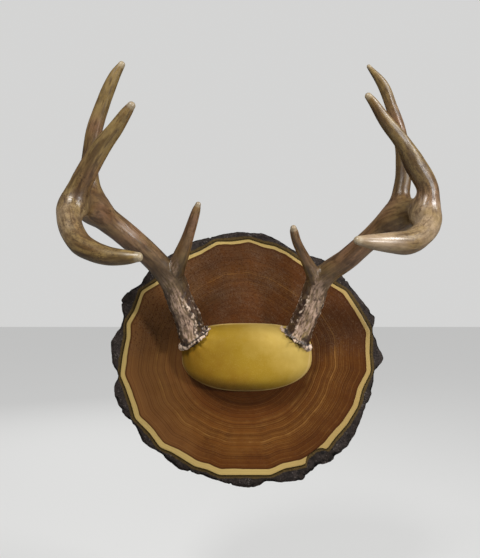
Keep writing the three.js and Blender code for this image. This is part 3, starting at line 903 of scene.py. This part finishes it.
# The outline of a box with rounded corners, six points to a corner.
def roundedBox(length, width, corner, middleZ):
    turn = np.radians(np.arange(0, 360, 15) + 7.5)
    x = np.sign(np.cos(turn)) * (length / 2 - corner) + corner * np.cos(turn)
    z = np.sign(np.sin(turn)) * (width / 2 - corner) + corner * np.sin(turn) + middleZ
    return np.stack([x, z], axis=1)


def buildCutters():
    length, width, depth, corner = hangerCuts["recess"]
    recess = prism("recess_cut", roundedBox(length, width, corner, hangerCuts["height"]), mm, -depth)
    length, width, depth, corner = hangerCuts["pocket"]
    middle = hangerCuts["height"] - hangerCuts["pocketDrop"]
    cutters = [recess, prism("pocket_cut", roundedBox(length, width, corner, middle), mm, -depth)]
    turn = np.radians(np.arange(0, 360, 15))
    ring = np.stack([np.cos(turn), np.sin(turn)], axis=1)
    headDepth = hangerCuts["screwHeadDepth"]
    for side in (-1, 1):
        at = (side * hangerCuts["screwSpacing"] / 2, hangerCuts["screwHeight"])
        cutters.append(prism("head_cut", ring * hangerCuts["screwHead"] + at, mm, -headDepth))
        cutters.append(prism("shank_cut", ring * hangerCuts["screwHole"] + at, mm, -slab["depth"] - mm))
    return cutters


bark = {
    "clear": 0.15 * mm,           # between the bark and the wood
    "least": 4.5 * mm,            # thickness
    "cornerBlur": 0.7,            # degrees
    "furrow": 1.6 * mm,           # extra depth where the outline is hollow
    "crack": 1.5 * mm,
    "crackSpacing": 13 * mm,
    "roughness": 1.1 * mm,
    "ledge": 1.1 * mm,            # relief of the cut face
    "tornFrom": (-78, -64),       # degrees, where the rough stretch at the break fades in and out
    "tornTo": (-46, -28),
}


# The bark: its section runs round the rim from the wood outwards, as rings joined head to tail. The inner
# wall follows the wood. The outer one follows the CAD bark, whose hollows deepen into furrows along the log,
# and finer cracks lie between them: valleys of smooth noise that is drawn out along the log's axis.
def buildBark():
    angles = slab["barkAngles"]
    front = -(slab["depth"] - slab["barkStepBack"])
    wood = outlineReach(slab["depth"], slab["angles"], slab["cornerBlur"])
    angle, outer = outlineReach(0, angles, bark["cornerBlur"], beyond=wood)
    inner = reachAt(angle, *bitten(*wood)) + bark["clear"]
    outer = np.maximum(outer, inner + bark["least"])
    thickness = outer - inner
    # The valleys are where the bark is thinner than it is on average over a few degrees round about.
    valley = np.clip((blurred(thickness, angles / 45) - thickness - 0.8 * mm) / (2.5 * mm), 0, 1)

    inside = [(0.0, y) for y in np.linspace(0, front, 5)[:-1]]
    face = [(share, front) for share in np.linspace(0, 1, 19)]
    side = [(1.0, y) for y in np.linspace(front, 0, 19)[1:-1]]
    back = [(share, 0.0) for share in np.linspace(1, 0, 9)[:-1]]
    share, y = np.array(inside + face + side + back).T
    radius = inner + thickness * share[:, None]
    points = ringPoints(radius, angle, y).reshape(-1, 3)
    out = np.stack([np.cos(angle), np.zeros(angles), np.sin(angle)], axis=-1)
    out = np.broadcast_to(out, (len(share), angles, 3)).reshape(-1, 3)
    shares = np.broadcast_to(share[:, None], radius.shape).ravel()
    valleys = np.broadcast_to(valley, radius.shape).ravel()

    crack = valleyAt(points * (1, 0.22, 1), bark["crackSpacing"], 31, 0.72)
    crack = crack * ease(noiseAt(points, 15 * mm, 33), 0.3, 0.6)
    rough = roughAt(points, 7 * mm, 41) - 0.5 + 0.6 * (roughAt(points * (1, 0.5, 1), 2.4 * mm, 43) - 0.5)
    outerShare = ease(shares, 0.35, 1.0)
    turn = np.degrees(np.arctan2(points[:, 2], points[:, 0]))
    torn = ease(turn, *bark["tornFrom"]) * (1 - ease(turn, *bark["tornTo"]))
    move = bark["roughness"] * (1 + torn) * rough - bark["crack"] * crack - bark["furrow"] * valleys
    points += out * (move * outerShare)[:, None]

    onFace = points[:, 1] < front + 0.01 * mm
    flat = points * (1, 0, 1)
    ledges = roughAt(flat, 4 * mm, 47) - 0.5 + 0.7 * (roughAt(flat, 1.6 * mm, 51) - 0.5)
    rounding = ease(shares, 0.7, 1.0) * (1.6 * mm + 1.4 * mm * noiseAt(points, 12 * mm, 53))
    points[:, 1] += onFace * (ledges * bark["ledge"] * (0.3 + outerShare + torn) + rounding)
    points[:, 1] += onFace * (crack * outerShare * 1.2 * mm + valleys * outerShare * 2 * mm)
    points[:, 1] = np.minimum(points[:, 1], 0)
    piece = newPiece("slice_bark", points, [gridFaces(len(share), angles, closed=True)])
    mesh = piece.data
    setAttribute(mesh, "across", shares * np.broadcast_to(thickness, radius.shape).ravel())
    gaps = torn * np.clip(6 * (roughAt(points, 4.5 * mm, 57) - 0.47), 0, 1)
    hollow = np.clip(crack + valleys * 0.9 - 0.5 * rough, 0, 1) * outerShare
    setAttribute(mesh, "hollow", np.maximum(hollow, gaps))
    mesh.materials.append(barkMaterial)
    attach(piece, "root")
    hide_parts("log_slice")
    print(f"{piece.name}: {len(mesh.polygons)} faces")


woodColour = {
    "dark": (0.050, 0.0135, 0.0026),
    "red": (0.105, 0.030, 0.0045),
    "mid": (0.118, 0.036, 0.0055),
    "ochre": (0.205, 0.077, 0.0125),
    "thread": (0.31, 0.15, 0.036),
    "grey": (0.095, 0.050, 0.026),
    "leftSheen": (0.24, 0.108, 0.036),
    "scratch": (0.20, 0.125, 0.08),
    "sapwood": (0.52, 0.37, 0.13),
    "sapDark": (0.36, 0.24, 0.085),
    "edge": (0.040, 0.025, 0.003),
}


def buildWoodMaterial():
    material, tree, shader = newMaterial("slice_end_grain")
    paint = painter(tree, woodColour)
    place = objectPlace(tree)
    axes = node(tree, "SeparateXYZ", {"Vector": place}).outputs
    aside, up = axes["X"], axes["Z"]
    ring, rim, face = attribute(tree, "ring"), attribute(tree, "rim"), attribute(tree, "face")
    years = plus(tree, ring, swing(tree, noiseMask(tree, place, 22.0, 1.0), 1.6 * mm))

    def ringNoise(scale, detail):
        inputs = {"W": times(tree, years, scale), "Detail": detail, "Scale": 1.0}
        return node(tree, "TexNoise", inputs, noise_dimensions="1D").outputs["Fac"]

    def threadsOf(noise, outer, inner):      # thin lines where a noise crosses its middle value
        return remap(tree, maths(tree, "ABSOLUTE", minus(tree, noise, 0.5)), outer, inner)

    fine, middling, broad = ringNoise(560.0, 0.0), ringNoise(420.0, 1.0), ringNoise(75.0, 1.0)
    clouds = mottle(tree, place, 16.0, 1.2)
    drift = times(tree, clouds, 0.03)
    upper = remap(tree, plus(tree, up, drift), 0.0, 0.06)
    lower = minus(tree, 1.0, upper)

    # Reddish within, ochre in a belt about two thirds of the way out, and greyer towards the top.
    outwards = plus(tree, ring, swing(tree, clouds, 0.02))
    colour = mixColour(tree, remap(tree, outwards, 0.05, 0.1), woodColour["red"], woodColour["mid"])
    belt = times(tree, remap(tree, outwards, 0.072, 0.098), remap(tree, outwards, 0.138, 0.112))
    glow = times(tree, belt, remap(tree, broad, 0.3, 0.7, 0.3, 0.9))
    glow = times(tree, glow, remap(tree, lower, 0.0, 1.0, 0.25, 0.75))
    colour = paint(colour, "ochre", glow)
    colour = paint(colour, "dark", remap(tree, broad, 0.45, 0.7, 0.0, 0.34))
    colour = paint(colour, "dark", remap(tree, middling, 0.42, 0.66, 0.0, 0.3))
    colour = paint(colour, "dark", remap(tree, mottle(tree, place, 34.0, 1.2), 0.55, 1.0, 0.0, 0.4))
    greyness = times(tree, upper, remap(tree, mottle(tree, place, 24.0), 0.0, 1.0, 0.2, 0.75))
    colour = paint(colour, "grey", greyness)

    # The left side is painted paler and greyer as a painted sheen, and the right side darker as painted
    # shade.
    leftness = remap(tree, plus(tree, aside, drift), -0.02, -0.12, 0.0, 0.66)
    rightness = remap(tree, aside, 0.0, 0.1, 0.0, 0.52)
    colour = paint(colour, "leftSheen", leftness)
    colour = paint(colour, "dark", rightness)

    # The growth rings themselves: thin pale threads, clearest in the belt, and dark lines.
    broken = remap(tree, mottle(tree, place, 70.0), 0.1, 0.8, 0.35, 1.0)
    threads = times(tree, threadsOf(ringNoise(420.0, 0.0), 0.04, 0.008), broken)
    clear = plus(tree, times(tree, belt, remap(tree, lower, 0.0, 1.0, 0.25, 0.5)), 0.07)
    colour = paint(colour, "thread", threads, clear)
    faint = times(tree, broken, remap(tree, lower, 0.0, 1.0, 0.05, 0.2))
    colour = paint(colour, "thread", threadsOf(fine, 0.09, 0.02), faint)
    colour = paint(colour, "dark", remap(tree, fine, 0.45, 0.3, 0.0, 0.3))

    # Speckles left by the saw, in slanting rows across the upper part and faintly below.
    slanting = {"Vector": place, "Rotation": (0, math.radians(-42), 0), "Scale": (1, 1, 1.7)}
    slant = node(tree, "Mapping", slanting, vector_type="TEXTURE").outputs["Vector"]
    rows = noiseMask(tree, stretched(tree, slant, (1, 1, 0.25)), 160.0, 1.0)
    rows = remap(tree, rows, 0.35, 0.65, 0.3, 1.0)
    speckles = times(tree, remap(tree, noiseMask(tree, slant, 820.0, 2.0), 0.5, 0.64), rows)
    scratches = times(tree, speckles, plus(tree, times(tree, greyness, 0.6), 0.08))
    colour = paint(colour, "scratch", scratches)
    pits = remap(tree, noiseMask(tree, slant, 560.0, 2.0), 0.46, 0.36, 0.0, 0.6)
    colour = paint(colour, "dark", pits, upper)

    # The sapwood, wider below than above, and the thin dark lines on either side of it.
    uneven = swing(tree, noiseMask(tree, place, 34.0, 2.0), 3.2 * mm)
    depth = plus(tree, plus(tree, rim, uneven), times(tree, up, slab["sapwoodLean"]))
    sapwood, blend = slab["sapwood"], 0.35 * mm
    colour = paint(colour, "dark", remap(tree, depth, sapwood + 3.5 * mm, sapwood, 0.0, 0.8))
    sapRings = remap(tree, fine, 0.35, 0.65, 0.0, 0.22)
    sapTone = mixColour(tree, sapRings, woodColour["sapwood"], woodColour["sapDark"])
    # The same painted shade darkens the sapwood on the right side.
    sapTone = paint(sapTone, "sapDark", rightness, 1.3)
    colour = mixColour(tree, remap(tree, depth, sapwood + blend, sapwood - blend), colour, sapTone)
    colour = paint(colour, "edge", remap(tree, rim, 1.3 * mm, 0.7 * mm, 0.0, 0.95))

    rough = remap(tree, mottle(tree, place, 60.0), 0.0, 1.0, 0.32, 0.4)
    rough = plus(tree, rough, times(tree, minus(tree, 1.0, face), 0.35))
    height = plus(tree, fine, times(tree, noiseMask(tree, place, 700.0, 2.0), 0.6))
    height = plus(tree, height, scratches)
    fill(tree, shader, {
        "Base Color": colour, "Roughness": rough, "Specular IOR Level": 0.14,
        "Normal": bump(tree, height, 0.06 * mm, 0.5)})
    return material


barkColour = {
    "crack": (0.006, 0.0045, 0.004),
    "brown": (0.019, 0.0125, 0.009),
    "grey": (0.043, 0.032, 0.028),
    "lichen": (0.12, 0.10, 0.088),
    "line": (0.020, 0.0125, 0.002),
    "inner": (0.14, 0.085, 0.016),
}


def buildBarkMaterial():
    material, tree, shader = newMaterial("rough_bark")
    paint = painter(tree, barkColour)
    place = objectPlace(tree)
    across, hollow = attribute(tree, "across"), attribute(tree, "hollow")
    colour = mixColour(tree, mottle(tree, place, 60.0, 1.5), barkColour["brown"], barkColour["grey"])
    colour = paint(colour, "lichen", flecks(tree, place, 420.0, 0.64, 0.1, 0.6))
    colour = paint(colour, "crack", flecks(tree, place, 620.0, 0.5, 0.12, 0.3), 0.7)
    colour = paint(colour, "crack", hollow, 0.9)
    wavy = plus(tree, across, swing(tree, noiseMask(tree, place, 110.0, 2.0), 3.5 * mm))
    inner = mixColour(tree, noiseMask(tree, place, 400.0, 3.0), barkColour["inner"], barkColour["brown"])
    colour = mixColour(tree, remap(tree, wavy, 4.6 * mm, 3.0 * mm, 0.0, 0.95), colour, inner)
    colour = paint(colour, "line", remap(tree, across, 0.9 * mm, 0.4 * mm))
    height = plus(tree, noiseMask(tree, place, 300.0, 4.0), noiseMask(tree, place, 1100.0, 2.0))
    fill(tree, shader, {
        "Base Color": colour, "Roughness": 0.85, "Specular IOR Level": 0.25,
        "Normal": bump(tree, height, 0.6 * mm, 0.8)})
    return material


cap = {
    "middle": (1.5 * mm, 0.5 * mm),
    "half": (81.5 * mm, 42.2 * mm),
    "rise": 36 * mm,
    "cornerAbove": 2.9,
    "cornerBelow": 2.25,
    "edgeFullness": 4.2,
    "crownFullness": 2.0,
    "foot": 32.3 * mm,            # off the wall
    "hem": 1.2 * mm,              # half the thickness of the leather's cut edge
    "hemBulge": 1.3 * mm,
    "rimRise": 4.2 * mm,          # of the skin round each antler
    "rimFade": (14 * mm, 32 * mm),        # from the antler's line, where that rise fades out
    "folds": 11,                  # in that rise, round the antler
    "sides": 360,
    "rings": 72,
}


# The cap: rings of a superellipse, |x/a|^n + |z/b|^n = 1 with a squarer n above than below, that shrink from
# foot to crown while they rise as (1 - share^e)^(1/c). A hem bulges at the foot, and the skin rises in slight
# folds round each antler.
def buildCap():
    angle = (np.arange(cap["sides"]) + 0.5) / cap["sides"] * 2 * math.pi
    blend = ease(np.sin(angle), -0.35, 0.35)
    power = cap["cornerBelow"] + (cap["cornerAbove"] - cap["cornerBelow"]) * blend
    reach = (np.abs(np.cos(angle)) ** power + np.abs(np.sin(angle)) ** power) ** (-1 / power)
    turn = np.linspace(0, 1, cap["rings"]) ** 0.9 * math.pi / 2
    share = np.cos(turn[:-1])
    lift = cap["rise"] * (1 - share ** cap["edgeFullness"]) ** (1 / cap["crownFullness"])
    halfX, halfZ = cap["half"]
    x = halfX * reach * np.cos(angle) * share[:, None]
    z = halfZ * reach * np.sin(angle) * share[:, None]
    out = np.broadcast_to(lift[:, None], x.shape)
    middleX, middleZ = cap["middle"]
    points = np.stack([x + middleX, -(out + cap["foot"]), z + middleZ], axis=-1)
    sideways = np.stack([np.cos(angle) * halfZ, np.zeros(len(angle)), np.sin(angle) * halfX], axis=-1)
    sideways /= np.linalg.norm(sideways, axis=1, keepdims=True)
    hem = bell(out, 0.7 * mm, cap["hem"])[..., None] * cap["hemBulge"]
    tuck = bell(out, 3.6 * mm, 1.6 * mm)[..., None] * -0.5 * mm
    points += sideways * (hem + tuck)
    crown = -cap["foot"] - cap["rise"]
    skin = np.vstack([points.reshape(-1, 3), [middleX, -cap["foot"], middleZ], [middleX, crown, middleZ]])
    outward = skin - np.array([middleX, -cap["foot"] + 30 * mm, middleZ])      # from a point inside the slice
    outward /= np.linalg.norm(outward, axis=1, keepdims=True)
    raised = ease(-skin[:, 1] - cap["foot"], 2 * mm, 8 * mm)
    sag = (noiseAt(skin, 34 * mm, 71) - 0.5) * 1.2 * mm + (noiseAt(skin, 12 * mm, 73) - 0.5) * 0.35 * mm
    pull = np.zeros(len(skin))
    for hand in antler:
        beam = branchLine(antler[hand]["beam"])
        spot = np.searchsorted(beam["along"], bone["burrAt"] - 3 * mm)
        offset, ahead = skin - beam["middle"][spot], beam["ahead"][spot]
        away = np.linalg.norm(offset - ahead * (offset @ ahead)[:, None], axis=1)
        toward = np.arctan2(offset[:, 2], offset[:, 0])
        folds = 1 + 0.12 * np.sin(toward * cap["folds"] + 3 * noiseAt(skin, 9 * mm, 79))
        pull += (1 - ease(away, *cap["rimFade"])) * cap["rimRise"] * folds
    skin += outward * ((pull - sag) * raised)[:, None]
    piece = newPiece("leather_cover", skin, closedFaces(*x.shape))
    mesh = piece.data
    setAttribute(mesh, "hem", bell(-skin[:, 1] - cap["foot"], 0.8 * mm, 1.6 * mm))
    # A painted highlight along the lower right edge, just inside the foot.
    shares = np.r_[np.repeat(share, len(angle)), 0, 0]
    lowerRight = np.r_[np.tile(ease(np.sin(angle - 0.9), 0.35, -0.35), len(share)), 0, 0]
    setAttribute(mesh, "wearAndHighlight", bell(shares, 0.95, 0.017) * lowerRight)
    mesh.materials.append(leatherMaterial)
    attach(piece, "root")
    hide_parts("leather_cap")
    print(f"{piece.name}: {len(mesh.polygons)} faces")


leatherColour = {
    "gold": (0.345, 0.208, 0.014),
    "amber": (0.255, 0.125, 0.005),
    "pale": (0.60, 0.43, 0.12),
    "lowerEdgeShade": (0.10, 0.045, 0.004),
    "hem": (0.64, 0.45, 0.17),
}


def buildLeatherMaterial():
    material, tree, shader = newMaterial("suede_leather")
    paint = painter(tree, leatherColour)
    place = objectPlace(tree)
    axes = node(tree, "SeparateXYZ", {"Vector": place}).outputs
    aside, up = axes["X"], axes["Z"]

    # Gold, with painted shade deepening it to amber towards the lower left and a painted highlight paling it
    # towards the upper right.
    cloud = swing(tree, mottle(tree, place, 26.0, 1.1), 0.03)
    across = plus(tree, plus(tree, aside, times(tree, up, 0.9)), cloud)
    shaded = remap(tree, across, 0.005, -0.07, 0.0, 0.95)
    colour = mixColour(tree, shaded, leatherColour["gold"], leatherColour["amber"])
    colour = paint(colour, "pale", remap(tree, across, 0.0, 0.085, 0.0, 0.68))

    # Painted shade along the lower edge, a fine nap, a painted highlight on the lower right rim and the pale
    # cut edge.
    low = plus(tree, up, times(tree, aside, 0.1))
    shadeVariation = remap(tree, mottle(tree, place, 45.0), 0.0, 0.8, 0.5, 1.0)
    colour = paint(colour, "lowerEdgeShade", times(tree, remap(tree, low, -0.02, -0.045), shadeVariation), 0.92)
    colour = paint(colour, "pale", flecks(tree, place, 900.0, 0.5, 0.25, 0.3), 0.12)
    colour = paint(colour, "hem", attribute(tree, "wearAndHighlight"), 0.8)
    colour = paint(colour, "hem", attribute(tree, "hem"))

    grainCells = node(tree, "TexVoronoi", {"Vector": place, "Scale": 1100.0}).outputs["Distance"]
    height = plus(tree, grainCells, noiseMask(tree, place, 1800.0, 2.0))
    rough = remap(tree, mottle(tree, place, 120.0), 0.0, 1.0, 0.62, 0.8)
    fill(tree, shader, {
        "Base Color": colour, "Roughness": rough, "Specular IOR Level": 0.2, "Sheen Weight": 0.06,
        "Sheen Roughness": 0.4, "Sheen Tint": (1.0, 0.82, 0.45, 1),
        "Normal": bump(tree, height, 0.15 * mm, 0.5)})
    return material


steelColour = {
    "bright": (0.62, 0.60, 0.55),
    "stained": (0.42, 0.39, 0.34),
}


def buildSteelMaterial():
    material, tree, shader = newMaterial("plated_steel")
    place = objectPlace(tree)
    stain = mottle(tree, place, 160.0, 1.2)
    drawn = noiseMask(tree, stretched(tree, place, (0.05, 1, 1)), 2600.0, 2.0)
    fill(tree, shader, {
        "Base Color": mixColour(tree, stain, steelColour["bright"], steelColour["stained"]), "Metallic": 1.0,
        "Roughness": remap(tree, stain, 0.0, 1.0, 0.26, 0.5), "Normal": bump(tree, drawn, 0.05 * mm, 0.4)})
    return material


studio = {
    "camera": (-7.2 * mm, -832 * mm, 99.7 * mm),
    "sensor": 36,
    "focal": 630 / 558,           # in frame heights
    "floor": -0.42,
    "floorReach": 6.0,            # from the middle to its edges
    "floorColour": (0.3, 0.3, 0.295, 1),
    "floorGlow": (0.98, 0.98, 0.97, 1),
    "floorGlowSeen": 0.5,         # its strength for the camera, and none for the object
    "ambient": (0.10, 0.10, 0.103),
    "backdrop": (0.66, 0.66, 0.655),
    "target": (0.0, -0.05, 0.03),
    "distance": 1.8,              # of the lamps from the target
    "lamps": {                    # direction, size, watts
        "high": ((-0.4, -1.0, 1.05), 0.35, 23.0),
        "side": ((1.0, -1.0, 0.2), 0.16, 12.5),
        "far": ((1.8, -1.0, 1.4), 0.3, 17.0),
        "rear": ((-0.4, 1.0, 0.4), 0.6, 9.0),
    },
}


def buildStudio():
    lens = bpy.data.cameras.new("camera")
    lens.sensor_width = studio["sensor"]
    lens.lens = studio["sensor"] * studio["focal"]
    lens.clip_start, lens.clip_end = 0.01, 50
    view = bpy.data.objects.new("camera", lens)
    view.location = studio["camera"]
    view.rotation_euler = (math.pi / 2, 0, 0)
    scene.collection.objects.link(view)
    scene.camera = view

    for name, (direction, size, watts) in studio["lamps"].items():
        lamp = bpy.data.lights.new(name, "AREA")
        lamp.size, lamp.energy = size, watts
        held = bpy.data.objects.new(name, lamp)
        away = np.array(direction) / np.linalg.norm(direction)
        held.location = np.array(studio["target"]) + away * studio["distance"]
        held.rotation_euler = (math.acos(away[2]), 0, math.atan2(away[0], -away[1]))
        held.visible_glossy = name != "rear"        # it only lifts the back, without bright rims
        scene.collection.objects.link(held)

    half, depth = studio["floorReach"], studio["floor"]
    corners = [[-half, -half, depth], [half, -half, depth], [half, half, depth], [-half, half, depth]]
    mesh = bpy.data.meshes.new("floor")
    mesh.from_pydata(corners, [], [[0, 1, 2, 3]])
    floor = bpy.data.objects.new("floor", mesh)
    scene.collection.objects.link(floor)
    material, tree, shader = newMaterial("pale_floor")
    seen = node(tree, "LightPath").outputs["Is Camera Ray"]
    fill(tree, shader, {
        "Base Color": studio["floorColour"], "Roughness": 0.95, "Emission Color": studio["floorGlow"],
        "Emission Strength": times(tree, seen, studio["floorGlowSeen"])})
    mesh.materials.append(material)

    world = bpy.data.worlds.new("world")
    world.use_nodes = True
    tree = world.node_tree
    seen = node(tree, "LightPath").outputs["Is Camera Ray"]
    light = mixColour(tree, seen, studio["ambient"], studio["backdrop"])
    tree.links.new(light, tree.nodes["Background"].inputs["Color"])
    scene.world = world
    scene.view_settings.view_transform = "Standard"


boneMaterial = buildBoneMaterial()
woodMaterial = buildWoodMaterial()
barkMaterial = buildBarkMaterial()
leatherMaterial = buildLeatherMaterial()
steelMaterial = buildSteelMaterial()
print("materials made")

buildStudio()
print("studio made")
buildWood()
buildBark()
buildCap()
for hand in antler:
    buildAntler(hand)

for name in ("left_cap_screw", "right_cap_screw", "sawtooth_hanger", "left_hanger_nail", "right_hanger_nail"):
    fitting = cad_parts[name]
    fitting.data.materials.clear()
    fitting.data.materials.append(steelMaterial)
print("fittings finished")
